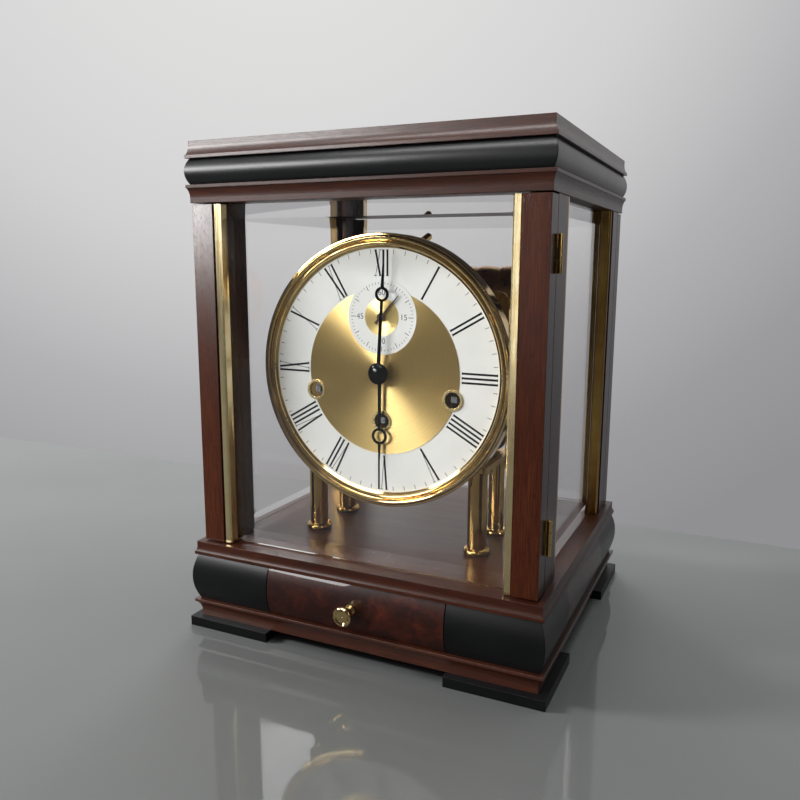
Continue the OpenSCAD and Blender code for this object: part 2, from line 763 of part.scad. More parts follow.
// Places of the plate pillars and of the dial feet, as [x, z]
pillar_edge = 8;
pillar_low_x = plate_w / 2 - pillar_edge;
pillar_step = 14;
pillar_high_x = pillar_low_x - pillar_step;
plate_pillar_at = [for (side = [-1, 1])
  each [[side * pillar_low_x, seat_z + pillar_edge], [side * pillar_high_x, plate_top_z - pillar_edge]]];
high_foot = [30, 40];
low_foot = [25, -46];
dial_feet_at = [for (side = [-1, 1], foot = [high_foot, low_foot]) [side * foot[0], dial_z + foot[1]]];
stud_r = 1.5;
module plate_blank(y) {
  difference() {
    facing(y, plate_t) rounded([-plate_w / 2, seat_z], [plate_w / 2, plate_top_z], 8);
    for (at = winding_at) bar_y(at, y - 1, y + plate_t + 1, winding_r + run_clear);
    for (at = [third_at, seconds_at, inter_at, chime_arbor_at])
      bar_y(at, y - 1, y + plate_t + 1, arbor_r + run_clear);
    bar_y(centre_at, y - 1, y + plate_t + 1, centre_arbor_r + run_clear);
    for (at = plate_pillar_at) bar_y(at, y - 1, y + plate_t + 1, stud_r);
  }
}
module front_plate() {
  color("#c9a24a") union() {
    plate_blank(front_plate_y);
    bar_y(minute_at, hour_wheel_y - 0.8, front_plate_y + plate_t, minute_stud_r);
  }
}
module back_plate() {
  color("#c9a24a") plate_blank(back_plate_y);
}
module plate_pillars() {
  nut_t = 2.5;
  color("#b08d3c") for (at = plate_pillar_at) {
    bar_y(at, inside_y, back_plate_y, plate_pillar_r);
    bar_y(at, front_plate_y - nut_t, inside_y, stud_r);
    bar_y(at, back_plate_y, behind_y + nut_t, stud_r);
    for (y = [front_plate_y - nut_t, behind_y]) difference() {
      facing(y, nut_t) translate(at) circle(r = plate_pillar_r + 0.8, $fn = 6);
      bar_y(at, y - 1, y + nut_t + 1, stud_r);
    }
  }
}

// Dial with its feet, applied discs and bezel
eyelet_tube_r = eyelet_bore_r + 0.6;
bezel_wall = 1.2;
hand_hole_r = pipe_r + 0.8;
module dial_holes() {
  for (at = winding_at) translate(at) circle(r = eyelet_tube_r);
  translate(centre_at) circle(r = hand_hole_r);
}
module dial_plate() {
  color("#e4e4e0") union() {
    facing(dial_y, dial_t) difference() {
      translate(centre_at) circle(r = bezel_r - bezel_wall);
      dial_holes();
      translate(seconds_at) circle(r = arbor_r + 0.6);
    }
    for (at = dial_feet_at) bar_y(at, dial_y + dial_t, front_plate_y, 2);
  }
}
module centre_disc() {
  color("#b59a55") facing(dial_y - centre_disc_t, centre_disc_t) difference() {
    translate(centre_at) circle(r = centre_disc_r);
    dial_holes();
    translate(seconds_at) circle(r = seconds_dial_r);
  }
}
module seconds_dial() {
  color("#e4e4e0") facing(dial_y - seconds_dial_t, seconds_dial_t) translate(seconds_at) difference() {
    circle(r = seconds_dial_r);
    circle(r = arbor_r + 0.6);
  }
}

// Bezel: an inner slope, two beads with a hollow between them, and a deep outer wall
module bezel() {
  face = 1.5;
  front = 3;
  bead_in = [for (a = [160 : -20 : 20]) [dial_r + 2.5 + 1.1 * cos(a), face + 1.1 * sin(a)]];
  bead_out = [for (a = [200 : -20 : 20]) [bezel_r - 2.6 + 1.4 * cos(a), front - 0.7 + 1.4 * sin(a)]];
  color("#c9a24a") translate([0, dial_y, dial_z]) rotate([90, 0, 0]) rotate_extrude($fn = 160)
    polygon(concat([[dial_r, 0], [dial_r, 0.5], [dial_r + 1.3, face - 0.1]], bead_in,
      [[dial_r + 3.7, face]], bead_out, [[bezel_r - 0.3, front - 0.4], [bezel_r, front - 0.8],
      [bezel_r, front - bezel_d], [bezel_r - bezel_wall, front - bezel_d], [bezel_r - bezel_wall, 0]]));
}
module winding_eyelets() {
  flange = 0.6;
  face_y = dial_y - centre_disc_t;
  color("#d4af55") for (at = winding_at) difference() {
    union() {
      bar_y(at, face_y - flange, face_y, eyelet_r);
      bar_y(at, face_y, dial_y + dial_t + 0.5, eyelet_tube_r);
    }
    bar_y(at, face_y - 1, dial_y + dial_t + 1, eyelet_bore_r);
  }
}

// Click on the front plate, just outside each ratchet's teeth
click_dirs = [-60, 90, 90];
module clicks() {
  reach = ratchet_r + 5;
  color("#8d8f92") for (i = [0 : 2]) let (at = winding_at[i], d = [cos(click_dirs[i]), sin(click_dirs[i])]) {
    facing(ratchet_y, ratchet_t) translate(at) rotate(click_dirs[i]) {
      translate([reach, 0]) circle(r = 2);
      polygon([[ratchet_r + 0.4, 1.4], [ratchet_r + 0.8, 0.4], [reach, -1.9], [reach, 1.9]]);
    }
    bar_y(at + reach * d, ratchet_y + ratchet_t, front_plate_y, 1);
  }
}

// Escapement platform on top of the plates, with the balance under its cock
balance_y = (front_plate_y + behind_y) / 2;
platform_t = 2;
cock_room = 6;
cock_t = 2;
cock_z = plate_top_z + platform_t + cock_room;
staff_r = 0.6;
module platform() {
  margin = 4;
  post = 6;
  half = post / 2;
  post_x = balance_r + 2;
  cock_top = cock_z + cock_t;
  color("#c9a24a") difference() {
    union() {
      block([-balance_r - margin, front_plate_y, plate_top_z],
        [post_x + post + 1, behind_y, plate_top_z + platform_t]);
      block([post_x, balance_y - half, plate_top_z], [post_x + post, balance_y + half, cock_top]);
      block([0, balance_y - half, cock_z], [post_x + 1, balance_y + half, cock_top]);
      translate([0, balance_y, cock_z]) cylinder(h = cock_t, r = half);
    }
    translate([0, balance_y, plate_top_z - 1])
      cylinder(h = cock_top - plate_top_z + 2, r = staff_r + run_clear);
  }
}
module balance_wheel() {
  z = plate_top_z + platform_t + 2.4;
  rim = 1.4;
  color("#d4af55") translate([0, balance_y, 0]) {
    translate([0, 0, z]) linear_extrude(1.2) union() {
      difference() {
        circle(r = balance_r);
        circle(r = balance_r - rim);
      }
      square([2 * balance_r - rim, 1.6], center = true);
      circle(r = 1.8);
    }
    translate([0, 0, plate_top_z + 0.2]) cylinder(h = cock_z + cock_t - 0.2 - plate_top_z, r = staff_r);
  }
}

// Bell bracket with its rod and collars, cheeks for the drum and the quarter hammers, and ears for the
// hour hammer
collar_r = 5;
cheeks_x = [drum_left - 0.3 - cheek_t, drum_right + 0.3];
ear_in = 3.2;
module bell_stand() {
  arm_t = 2.5;
  arm_h = 8;
  color("#b08d3c") {
    block([plate_w / 2 - 10, behind_y, bell_z - arm_h], [bell_rod_end, behind_y + 3, bell_z + arm_h]);
    block([bell_rod_end - arm_t, behind_y + 3, bell_z - arm_h],
      [bell_rod_end, bell_y + arm_h, bell_z + arm_h]);
    bar_x([bell_y, bell_z], bell_x[0] + bell_depth - 5, bell_rod_end - arm_t, bell_rod_r);
    for (x = bell_x) for (at = [x + bell_depth - bell_wall - 2, x + bell_depth]) difference() {
      bar_x([bell_y, bell_z], at, at + 2, collar_r);
      bar_x([bell_y, bell_z], at - 1, at + 3, bell_rod_r);
    }
    for (x = cheeks_x) difference() {
      block([x, behind_y, hammer_pivot[1] - 4], [x + cheek_t, hammer_pivot[0] + 4, drum_z + 5]);
      bar_x([drum_y, drum_z], x - 1, x + cheek_t + 1, arbor_r + run_clear);
      bar_x(hammer_pivot, x - 1, x + cheek_t + 1, hammer_arbor_r);
    }
    bar_x(hammer_pivot, cheeks_x[0], cheeks_x[1] + cheek_t, hammer_arbor_r);
    for (side = [-1, 1]) difference() {
      translate([hour_hammer_x + side * (ear_in + cheek_t / 2) - cheek_t / 2, 0, 0])
        block([0, behind_y, plate_top_z - ear_grip], [cheek_t, hour_pivot[0] + 3, hour_pivot[1] + 3]);
      bar_x(hour_pivot, hour_hammer_x - 9, hour_hammer_x + 9, hour_pin_r + run_clear);
    }
  }
}

// Cup bell: the wall closes from the rim to a flat crown
crown_flat_r = 6;
function bell_side(r, depth, steps) = [for (i = [0 : steps]) let (s = sin(90 * i / steps))
  [crown_flat_r + (r - crown_flat_r) * sqrt(1 - pow(s, 2.6)), depth * s]];
module bell() {
  steps = 12;
  outer = bell_side(bell_r, bell_depth, steps);
  inner = bell_side(bell_r - bell_wall, bell_depth - bell_wall, steps);
  rotate([0, 90, 0]) difference() {
    rotate_extrude() polygon(concat(outer, [[0, bell_depth], [0, bell_depth - bell_wall]],
      [for (i = [steps : -1 : 0]) inner[i]]));
    cylinder(h = 2 * bell_depth, r = bell_rod_r);
  }
}
module bells() {
  color("#c9a24a") for (x = bell_x) translate([x, bell_y, bell_z]) bell();
}

// Hand outline along the second axis: stem, open ring, leaf-shaped tip
module hand_outline(l, ring_at, ring_r, hub_r, hole_r) {
  stem = 0.8;
  difference() {
    union() {
      circle(r = hub_r);
      polygon([[-stem - 0.3, 0], [stem + 0.3, 0], [stem, ring_at - ring_r + 1],
        [-stem, ring_at - ring_r + 1]]);
      translate([0, ring_at]) circle(r = ring_r);
      polygon([[-stem - 0.2, ring_at + ring_r - 1], [stem + 0.2, ring_at + ring_r - 1],
        [0.15, l], [-0.15, l]]);
    }
    translate([0, ring_at]) circle(r = ring_r - 1.5);
    circle(r = hole_r);
  }
}
module minute_hand() {
  dome_h = 2.2;
  dome_r = (hand_cap_r * hand_cap_r + dome_h * dome_h) / (2 * dome_h);
  color("#111213") union() {
    facing(minute_hand_y - hand_t, hand_t) translate(centre_at) rotate(-minute_angle)
      hand_outline(minute_hand_l, minute_ring_at, minute_ring_r, hand_cap_r - 1, cannon_r);
    translate([0, minute_hand_y - hand_t, dial_z]) rotate([90, 0, 0]) rotate_extrude() intersection() {
      translate([0, dome_h - dome_r]) circle(r = dome_r, $fn = 160);
      square([hand_cap_r, dome_h]);
    }
  }
}
module hour_hand() {
  color("#111213") facing(hour_hand_y - hand_t, hand_t) translate(centre_at) rotate(-hour_angle)
    hand_outline(hour_hand_l, hour_ring_at, hour_ring_r, hand_cap_r - 1, pipe_r);
}

// Centre arbor with its wheel, pinion and cannon
module centre_wheel() {
  color("#c9a24a") union() {
    bar_y(centre_at, front_plate_y - 1, behind_y, centre_arbor_r);
    bar_y(centre_at, minute_hand_y - hand_t, front_plate_y - 0.3, cannon_r);
    toothed(centre_at, cannon_y, cannon_t, cannon_n, minute_module);
    spoked(centre_at, centre_wheel_y, wheel_t, centre_wheel_n, centre_module, 0);
    toothed(centre_at, inter_wheel_y - 0.5, wheel_t + 1, centre_pinion_n, inter_module);
  }
}
module hour_wheel() {
  color("#c9a24a") difference() {
    union() {
      toothed(centre_at, hour_wheel_y, hour_wheel_t, hour_wheel_n, hour_module, hour_turn);
      bar_y(centre_at, hour_hand_y - hand_t, hour_wheel_y + hour_wheel_t, pipe_r);
    }
    bar_y(centre_at, hour_hand_y - hand_t - 1, front_plate_y, cannon_r + run_clear);
  }
}
module minute_wheel() {
  color("#c9a24a") difference() {
    union() {
      toothed(minute_at, cannon_y + 0.2, cannon_t - 0.4, minute_wheel_n, minute_module, minute_turn);
      toothed(minute_at, hour_wheel_y - 0.4, cannon_y + 0.8 - hour_wheel_y, minute_pinion_n, hour_module);
    }
    bar_y(minute_at, hour_wheel_y - 2, front_plate_y, minute_stud_r + run_clear);
  }
}
module third_wheel() {
  color("#c9a24a") union() {
    bar_y(third_at, front_plate_y, behind_y, arbor_r);
    toothed(third_at, centre_wheel_y - 0.5, wheel_t + 1, third_pinion_n, centre_module, third_turn);
    spoked(third_at, third_wheel_y, wheel_t - 0.3, third_wheel_n, third_module, 0);
  }
}
module second_hand() {
  t = 0.4;
  color("#111213") {
    facing(second_hand_y - t, t) translate(seconds_at) rotate(-second_angle) difference() {
      union() {
        circle(r = 2.4);
        polygon([[-0.6, 0], [0.6, 0], [0.2, second_hand_l], [-0.2, second_hand_l]]);
        polygon([[-0.6, 0], [-0.9, -second_tail_l], [0.9, -second_tail_l], [0.6, 0]]);
      }
      circle(r = arbor_r);
    }
    bar_y(seconds_at, second_hand_y - t, behind_y, arbor_r);
    difference() {
      toothed(seconds_at, third_wheel_y - 0.5, wheel_t + 0.7, seconds_pinion_n, third_module, seconds_turn);
      bar_y(seconds_at, third_wheel_y - 1, third_wheel_y + 5, arbor_r);
    }
  }
}
module intermediate_wheel() {
  color("#c9a24a") union() {
    bar_y(inter_at, front_plate_y, behind_y, arbor_r);
    toothed(inter_at, barrel_wheel_y - 0.3, barrel_wheel_t + 0.6, inter_pinion_n, barrel_module);
    spoked(inter_at, inter_wheel_y, wheel_t, inter_wheel_n, inter_module, inter_turn);
  }
}

// Spring barrel with its great wheel, and the winding arbor through it
module barrel(at, turn) {
  color("#c9a24a") difference() {
    union() {
      bar_y(at, barrel_y, barrel_wheel_y, barrel_r);
      bar_y(at, barrel_y - 1, barrel_y, winding_r + 2.5);
      toothed(at, barrel_wheel_y, barrel_wheel_t, barrel_n, barrel_module, turn);
    }
    bar_y(at, barrel_y - 2, barrel_wheel_y + 4, winding_r + run_clear);
    difference() {
      bar_y(at, barrel_y - 1, barrel_y + 0.6, barrel_r - 2);
      bar_y(at, barrel_y - 2, barrel_y + 1, winding_r + 4);
    }
  }
}
module time_barrel() { barrel(time_at, time_turn); }
module chime_barrel() { barrel(chime_at, 0); }
module strike_barrel() { barrel(strike_at, 0); }
ratchet_n = 18;
module winding_arbor(at) {
  saw = [for (i = [0 : ratchet_n - 1], k = [0, 1])
    let (a = 360 / ratchet_n * (i + 0.06 * k)) (ratchet_r - 1.3 * k) * [cos(a), sin(a)]];
  color("#9a9c9f") union() {
    bar_y(at, ratchet_y, behind_y, winding_r);
    facing(ratchet_y, ratchet_t) translate(at) polygon(saw);
    facing(dial_y + square_in, ratchet_y - dial_y - square_in)
      translate(at) square(winding_square, center = true);
  }
}
module time_winding_arbor() { winding_arbor(time_at); }
module chime_winding_arbor() { winding_arbor(chime_at); }
module strike_winding_arbor() { winding_arbor(strike_at); }

// Chime arbor: pinion in the barrel's wheel, and a crown wheel behind the back plate that turns the drum
module chime_arbor() {
  at = chime_arbor_at;
  tooth_w = 0.65 * crown_module;
  tooth_h = 1.5 * crown_module;
  tooth_l = 1.6;
  color("#c9a24a") union() {
    bar_y(at, front_plate_y, crown_y + crown_disc_t, arbor_r);
    toothed(at, barrel_wheel_y - 0.3, barrel_wheel_t + 0.6, inter_pinion_n, barrel_module, chime_turn);
    bar_y(at, crown_y, crown_y + crown_disc_t, crown_r + tooth_l / 2);
    for (i = [0 : crown_n - 1]) translate([at[0], crown_y, at[1]])
      rotate([0, 180 / crown_n + i * 360 / crown_n, 0]) translate([crown_r - tooth_l / 2, 0, -tooth_w / 2])
        cube([tooth_l - 0.1, crown_disc_t + tooth_h, tooth_w]);
  }
}

// Pin drum along X, with a pinion outside the right cheek
function hub_x(i) = drum_left + hammer_pitch * (i + 0.5);
module chime_drum() {
  rows = 8;
  pinion_l = 3;
  color("#c9a24a") union() {
    bar_x([drum_y, drum_z], drum_left, drum_right, drum_r);
    bar_x([drum_y, drum_z], cheeks_x[0], drum_pinion_x + pinion_l / 2, arbor_r);
    translate([drum_pinion_x - pinion_l / 2, drum_y, drum_z]) rotate([90, 0, 90]) linear_extrude(pinion_l)
      polygon(tooth_points(drum_pinion_n, crown_module, 0));
    for (i = [0 : hammer_count - 1], k = [0 : rows - 1]) translate([hub_x(i), drum_y, drum_z])
      rotate([(k + i / hammer_count) * 360 / rows, 0, 0]) cylinder(h = drum_r + drum_pin_h, r = drum_pin_r);
  }
}

// Round rod between two points
module rod(a, b, r) {
  d = b - a;
  translate(a) rotate([0, acos(d[2] / norm(d)), atan2(d[1], d[0])]) cylinder(h = norm(d), r = r);
}
module quarter_hammer(i) {
  x = hub_x(i);
  hub_l = 5;
  hub_r = 3;
  tail_w = 2;
  strike_y = bell_y - bell_r - bell_gap;
  head = [bell_x[i + 1] + 4, strike_y - hammer_head_l, hammer_head_z];
  tail_top = drum_z - drum_r - drum_pin_h - 0.7;
  color("#c9a24a") difference() {
    union() {
      bar_x(hammer_pivot, x - hub_l / 2, x + hub_l / 2, hub_r);
      block([x - tail_w / 2, drum_y - tail_w / 2, tail_top - tail_w],
        [x + tail_w / 2, hammer_pivot[0] + 0.6, tail_top]);
      rod([x, hammer_pivot[0], hammer_pivot[1] + 2], head + [0, hammer_head_l / 2, 0], 0.8);
      bar_y([head[0], head[2]], head[1], strike_y, hammer_r);
    }
    bar_x(hammer_pivot, x - hub_l, x + hub_l, hammer_arbor_r + run_clear);
  }
}
module quarter_hammer_1() { quarter_hammer(0); }
module quarter_hammer_2() { quarter_hammer(1); }
module quarter_hammer_3() { quarter_hammer(2); }
module quarter_hammer_4() { quarter_hammer(3); }

// Hour hammer: an arm behind its pivot, raised, with a striker under the head
module hour_hammer() {
  pin = ear_in + cheek_t;
  strike_l = bell_y - hour_pivot[0];
  color("#c9a24a") translate([hour_hammer_x, hour_pivot[0], hour_pivot[1]])
    rotate([hour_raise, 0, 0]) union() {
      bar_x([0, 0], -pin, pin, hour_pin_r);
      bar_x([0, 0], 0.3 - ear_in, ear_in - 0.3, 2.8);
      bar_y([0, 0], 0, hour_arm_l, 0.9);
      bar_y([0, 0], hour_arm_l - hour_head_l / 2, hour_arm_l + hour_head_l / 2, hammer_r);
      translate([0, strike_l, bell_gap - hour_pivot[1] + bell_z + bell_r])
        cylinder(h = hour_pivot[1] - bell_z - bell_r - bell_gap, r = 1.6);
    }
}

placed() feet();
placed() base_board();
placed() base_corner_blocks();
placed() base_panels();
placed() drawer_guides();
placed() case_floor();
placed() corner_posts();
placed() side_glass();
placed() side_strips();
placed() under_board();
placed() frieze();
placed() top_board();
placed() case_hinges();
placed() front_door_stiles();
placed() front_door_glass();
placed() front_door_strips();
placed() front_door_leaves();
placed() rear_door_stiles();
placed() rear_door_glass();
placed() rear_door_strips();
placed() rear_door_leaves();
placed() drawer_front();
placed() drawer_box();
placed() drawer_knob();
placed() movement_pillars();
placed() seat_plate();
placed() front_plate();
placed() back_plate();
placed() plate_pillars();
placed() dial_plate();
placed() centre_disc();
placed() seconds_dial();
placed() bezel();
placed() winding_eyelets();
placed() clicks();
placed() platform();
placed() bell_stand();
placed() bells();
placed() minute_hand();
placed() centre_wheel();
placed() hour_hand();
placed() hour_wheel();
placed() minute_wheel();
placed() third_wheel();
placed() second_hand();
placed() intermediate_wheel();
placed() time_barrel();
placed() chime_barrel();
placed() strike_barrel();
placed() time_winding_arbor();
placed() chime_winding_arbor();
placed() strike_winding_arbor();
placed() balance_wheel();
placed() chime_arbor();
placed() chime_drum();
placed() quarter_hammer_1();
placed() quarter_hammer_2();
placed() quarter_hammer_3();
placed() quarter_hammer_4();
placed() hour_hammer();
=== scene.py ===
"""Looks of the chiming table clock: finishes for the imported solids, the printing on the dials, small metal
details, and the studio that the photograph's view is taken in. Lengths below are in millimetres."""
import math

import bpy
import numpy as np
from mathutils import Matrix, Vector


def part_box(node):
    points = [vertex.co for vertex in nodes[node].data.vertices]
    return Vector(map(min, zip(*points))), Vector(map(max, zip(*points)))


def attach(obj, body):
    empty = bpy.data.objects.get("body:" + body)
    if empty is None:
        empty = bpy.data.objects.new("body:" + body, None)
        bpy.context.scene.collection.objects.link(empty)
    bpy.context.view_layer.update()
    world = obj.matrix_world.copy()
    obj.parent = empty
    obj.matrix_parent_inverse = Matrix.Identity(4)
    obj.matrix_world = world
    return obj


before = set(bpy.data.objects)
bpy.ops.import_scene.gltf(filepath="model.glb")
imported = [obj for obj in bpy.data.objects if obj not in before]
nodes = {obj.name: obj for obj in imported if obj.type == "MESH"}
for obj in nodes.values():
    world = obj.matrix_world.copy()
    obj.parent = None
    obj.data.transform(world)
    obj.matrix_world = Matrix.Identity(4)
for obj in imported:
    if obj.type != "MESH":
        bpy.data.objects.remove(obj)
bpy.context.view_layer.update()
MM = 0.001


def node_box(name):
    """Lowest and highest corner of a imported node, in millimetres."""
    low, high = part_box(name)
    return np.array(low) / MM, np.array(high) / MM


def linear(code):
    """Linear RGBA of an sRGB hex code: each channel through the sRGB curve."""
    channels = [int(code[i:i + 2], 16) / 255 for i in (1, 3, 5)]
    return tuple(c / 12.92 if c <= 0.04045 else ((c + 0.055) / 1.055) ** 2.4 for c in channels) + (1.0,)


def add(tree, kind, inputs=(), stops=(), **settings):
    """Adds a node. Settings are its properties and stops fill its colour ramp. Each input takes a value, a socket,
    or a node, whose first live output is linked."""
    node = tree.nodes.new("ShaderNode" + kind)
    for name, value in settings.items():
        setattr(node, name, value)
    for place, (at, code) in enumerate(stops):
        if place > 1:
            node.color_ramp.elements.new(1.0)
        node.color_ramp.elements[place].position, node.color_ramp.elements[place].color = at, linear(code)
    for key, value in dict(inputs).items():
        if isinstance(value, bpy.types.Node):
            value = next(socket for socket in value.outputs if socket.enabled)
        if isinstance(value, bpy.types.NodeSocket):
            tree.links.new(value, node.inputs[key])
        else:
            node.inputs[key].default_value = value
    return node


def new_material(name):
    """Empty node tree of a new material, and its Object coordinates."""
    material = bpy.data.materials.new(name)
    material.use_nodes = True
    material.node_tree.nodes.clear()
    return material, material.node_tree, add(material.node_tree, "TexCoord").outputs["Object"]


# How far off in the wood the cross boards of a mitred board take their grain from.
CROSS_SHIFT = 531.0


# Sapele-toned hardwood, sliced and satin lacquered: fibres some 18 mm long, drawn 0.8 mm wide so that they show, a
# slower change of tone over 20 mm, short dark pores, and a soft even shine over all of it.
def hardwood(name, grain=None, box=None, strip=0.0, tones=("#220e07", "#3c1b0e", "#532b18"), rough=0.34, shine=0.24):
    material, tree, coords = new_material(name)
    x, y, z = add(tree, "SeparateXYZ", {0: coords}).outputs
    if box is not None:
        # Mitred board: the grain runs along the nearer side, and along X on the panel inside the strips.
        middle, half = tuple((box[0] + box[1]) / 2 * MM), tuple((box[1] - box[0]) / 2 * MM)
        off = add(tree, "VectorMath", {0: coords, 1: middle}, operation="SUBTRACT")
        away = add(tree, "VectorMath", {0: off}, operation="ABSOLUTE")
        inset = add(tree, "VectorMath", {0: away, 1: half}, operation="SUBTRACT")
        depth = add(tree, "SeparateXYZ", {0: inset}).outputs
        nearer = add(tree, "Math", {0: depth["X"], 1: depth["Y"]}, operation="GREATER_THAN")
        rim = add(tree, "Math", {0: depth["X"], 1: -strip * MM}, operation="GREATER_THAN")
        side = add(tree, "Math", {0: nearer, 1: rim}, operation="MULTIPLY")
        shifted = add(tree, "Math", {0: y, 1: CROSS_SHIFT * MM}, operation="ADD")
        y_run = add(tree, "CombineXYZ", {0: shifted, 1: x, 2: z})
        turned = add(tree, "Mix", {0: side, 4: coords, 5: y_run}, data_type="VECTOR")
    else:
        turned = add(tree, "CombineXYZ", dict(enumerate({"Y": (y, x, z), "Z": (z, x, y)}[grain])))
    fibres = add(tree, "VectorMath", {0: turned, 1: (55.0, 1300.0, 1300.0)}, operation="MULTIPLY")
    figure = add(tree, "VectorMath", {0: turned, 1: (5.0, 48.0, 48.0)}, operation="MULTIPLY")
    specks = add(tree, "VectorMath", {0: turned, 1: (260.0, 2600.0, 2600.0)}, operation="MULTIPLY")
    fine = add(tree, "TexNoise", {"Vector": fibres, "Scale": 1.0, "Detail": 4.0, "Roughness": 0.6})
    broad = add(tree, "TexNoise", {"Vector": figure, "Scale": 1.0, "Detail": 3.0, "Roughness": 0.55,
                                   "Distortion": 0.6})
    speck = add(tree, "TexNoise", {"Vector": specks, "Scale": 1.0, "Detail": 2.0})
    pore = add(tree, "MapRange", {0: speck, 1: 0.58, 2: 0.7, 3: 0.0, 4: 1.0})
    share = add(tree, "Math", {0: broad, 1: 0.45}, operation="MULTIPLY")
    tone = add(tree, "Math", {0: fine, 1: 0.55, 2: share}, operation="MULTIPLY_ADD")
    colour = add(tree, "ValToRGB", {0: tone}, stops=[(0.3, tones[0]), (0.5, tones[1]), (0.7, tones[2])])
    dark = add(tree, "Mix", {0: add(tree, "Math", {0: pore, 1: 0.5}, operation="MULTIPLY"), 6: colour,
                             7: linear("#4a2a1c")}, data_type="RGBA", blend_type="MULTIPLY")
    gloss = add(tree, "MapRange", {0: tone, 1: 0.3, 2: 0.7, 3: rough + 0.06, 4: rough - 0.04})
    height = add(tree, "Math", {0: fine, 1: 0.35, 2: add(tree, "Math", {0: pore, 1: -1.0}, operation="MULTIPLY")},
                 operation="MULTIPLY_ADD")
    worn = add(tree, "Bevel", {"Radius": 0.5 * MM}, samples=4)
    relief = add(tree, "Bump", {"Strength": 0.6, "Distance": 0.03 * MM, "Height": height, "Normal": worn})
    shader = add(tree, "BsdfPrincipled", {"Base Color": dark, "Roughness": gloss, "Normal": relief, "IOR": 1.5,
                                          "Specular IOR Level": shine, "Coat Weight": 0.4 * shine,
                                          "Coat Roughness": 0.2})
    add(tree, "OutputMaterial", {"Surface": shader})
    return material


# Burl veneer under thick gloss lacquer: swirled eyes 5 to 15 mm across, deep red-brown with orange flecks.
def burl(name):
    material, tree, coords = new_material(name)
    drift = add(tree, "TexNoise", {"Vector": coords, "Scale": 55.0, "Detail": 3.0}).outputs["Color"]
    bent = add(tree, "VectorMath", {0: drift, 1: (0.02, 0.02, 0.02), 2: coords}, operation="MULTIPLY_ADD")
    eyes = add(tree, "TexNoise", {"Vector": bent, "Scale": 50.0, "Detail": 5.0, "Roughness": 0.6,
                                  "Distortion": 1.2})
    flecks = add(tree, "TexNoise", {"Vector": bent, "Scale": 420.0, "Detail": 3.0, "Roughness": 0.6})
    cloud = add(tree, "TexNoise", {"Vector": coords, "Scale": 22.0, "Detail": 2.0})
    fleck_share = add(tree, "Math", {0: flecks, 1: 0.2}, operation="MULTIPLY")
    small = add(tree, "Math", {0: cloud, 1: 0.2, 2: fleck_share}, operation="MULTIPLY_ADD")
    tone = add(tree, "Math", {0: eyes, 1: 0.6, 2: small}, operation="MULTIPLY_ADD")
    colour = add(tree, "ValToRGB", {0: tone}, stops=[(0.34, "#170805"), (0.48, "#260d07"), (0.58, "#3c160b"),
                                                     (0.72, "#662c16")])
    worn = add(tree, "Bevel", {"Radius": 0.5 * MM}, samples=4)
    relief = add(tree, "Bump", {"Strength": 0.2, "Distance": 0.01 * MM, "Height": eyes, "Normal": worn})
    shader = add(tree, "BsdfPrincipled", {"Base Color": colour, "Normal": relief, "Roughness": 0.4, "IOR": 1.5,
                                          "Specular IOR Level": 0.2, "Coat Weight": 0.34, "Coat Roughness": 0.02})
    add(tree, "OutputMaterial", {"Surface": shader})
    return material


# Sprayed black lacquer on wood: an even satin sheen that spreads lamps wide, with the faintest orange-peel ripple
# about 2 mm long.
def black_lacquer(name, rough, shine):
    material, tree, coords = new_material(name)
    peel = add(tree, "TexNoise", {"Vector": coords, "Scale": 520.0, "Detail": 2.0})
    rubbed = add(tree, "TexNoise", {"Vector": coords, "Scale": 30.0, "Detail": 4.0, "Roughness": 0.6})
    colour = add(tree, "ValToRGB", {0: rubbed}, stops=[(0.3, "#09090a"), (0.7, "#101112")])
    gloss = add(tree, "MapRange", {0: rubbed, 1: 0.3, 2: 0.7, 3: rough - 0.015, 4: rough + 0.015})
    worn = add(tree, "Bevel", {"Radius": 0.6 * MM}, samples=4)
    relief = add(tree, "Bump", {"Strength": 0.08, "Distance": 0.02 * MM, "Height": peel, "Normal": worn})
    shader = add(tree, "BsdfPrincipled", {"Base Color": colour, "Roughness": gloss, "Normal": relief, "IOR": 1.5,
                                          "Specular IOR Level": shine})
    add(tree, "OutputMaterial", {"Surface": shader})
    return material


# Lacquered brass: a yellow mirror with a slight haze in patches of about 10 mm, or brush lines, drawn 0.5 mm apart
# so that they show.
def brass(name, tones, rough, brush=None):
    material, tree, coords = new_material(name)
    haze = add(tree, "TexNoise", {"Vector": coords, "Scale": 90.0, "Detail": 4.0, "Roughness": 0.6})
    colour = add(tree, "ValToRGB", {0: haze}, stops=[(0.3, tones[0]), (0.7, tones[1])])
    if brush is not None:
        lines = add(tree, "VectorMath", {0: coords, 1: brush}, operation="MULTIPLY")
        haze = add(tree, "TexNoise", {"Vector": lines, "Scale": 1.0, "Detail": 3.0})
    gloss = add(tree, "MapRange", {0: haze, 1: 0.3, 2: 0.7, 3: rough * 0.8, 4: rough * 1.25})
    worn = add(tree, "Bevel", {"Radius": 0.25 * MM}, samples=4)
    relief = add(tree, "Bump", {"Strength": 0.03 if brush is None else 0.4, "Distance": 0.004 * MM, "Height": haze,
                                "Normal": worn})
    shader = add(tree, "BsdfPrincipled", {"Base Color": colour, "Metallic": 1.0, "Roughness": gloss,
                                          "Normal": relief})
    add(tree, "OutputMaterial", {"Surface": shader})
    return material


